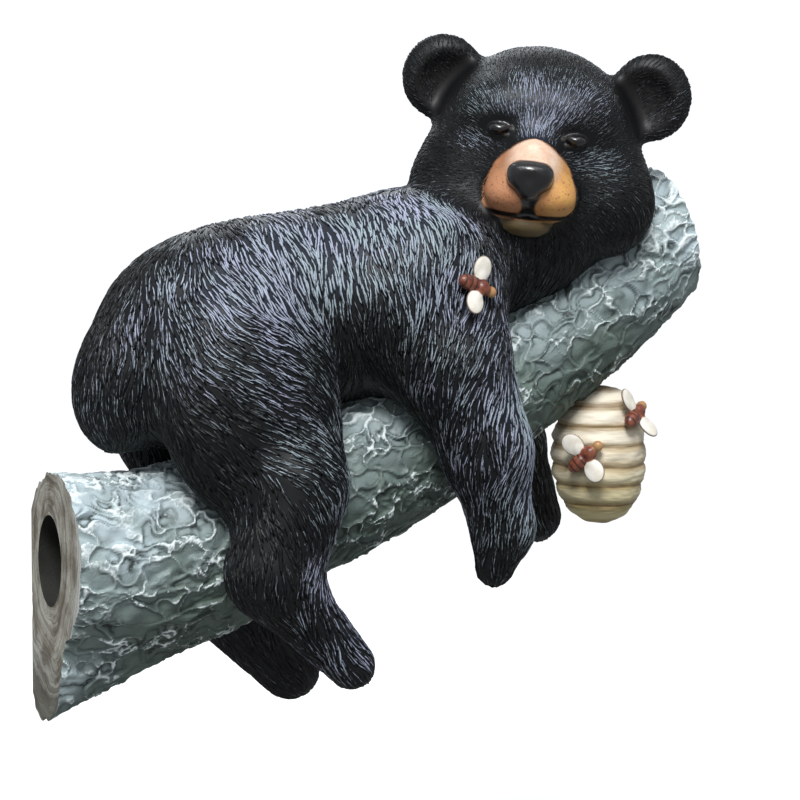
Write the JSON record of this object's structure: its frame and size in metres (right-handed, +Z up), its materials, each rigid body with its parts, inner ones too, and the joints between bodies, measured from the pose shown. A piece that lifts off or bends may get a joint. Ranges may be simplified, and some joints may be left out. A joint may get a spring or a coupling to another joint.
{
  "type": "hanging bear statue",
  "caption": "Black bear cub lying astride a bark-covered branch, with a skep beehive under it and small bees, hung by a recess in the branch's sawn face.",
  "frame": {"origin": "on the sawn left face of the branch, below the hanging recess, where the face rests against what the ornament hangs on", "axes": "+X right along the branch away from the sawn face, +Y away from the viewer, +Z up"},
  "size_m": [0.375, 0.177, 0.374],
  "materials": {
    "black_fur_paint": "semi-gloss black paint dry-brushed blue-grey on carved cast resin",
    "bark_paint": "grey-green paint with dark crevices and pale dry-brushed ridges on cast resin",
    "straw_paint": "straw-coloured paint with ochre lines on cast resin",
    "bee_paint": "copper-brown body and ivory wings, satin paint on cast resin"
  },
  "bodies": {
    "root": {"bear": "black_fur_paint", "branch": "bark_paint", "beehive": "straw_paint", "bee_on_shoulder": "bee_paint", "bee_on_hive_left": "bee_paint", "bee_on_hive_right": "bee_paint"}
  },
  "joints": []
}
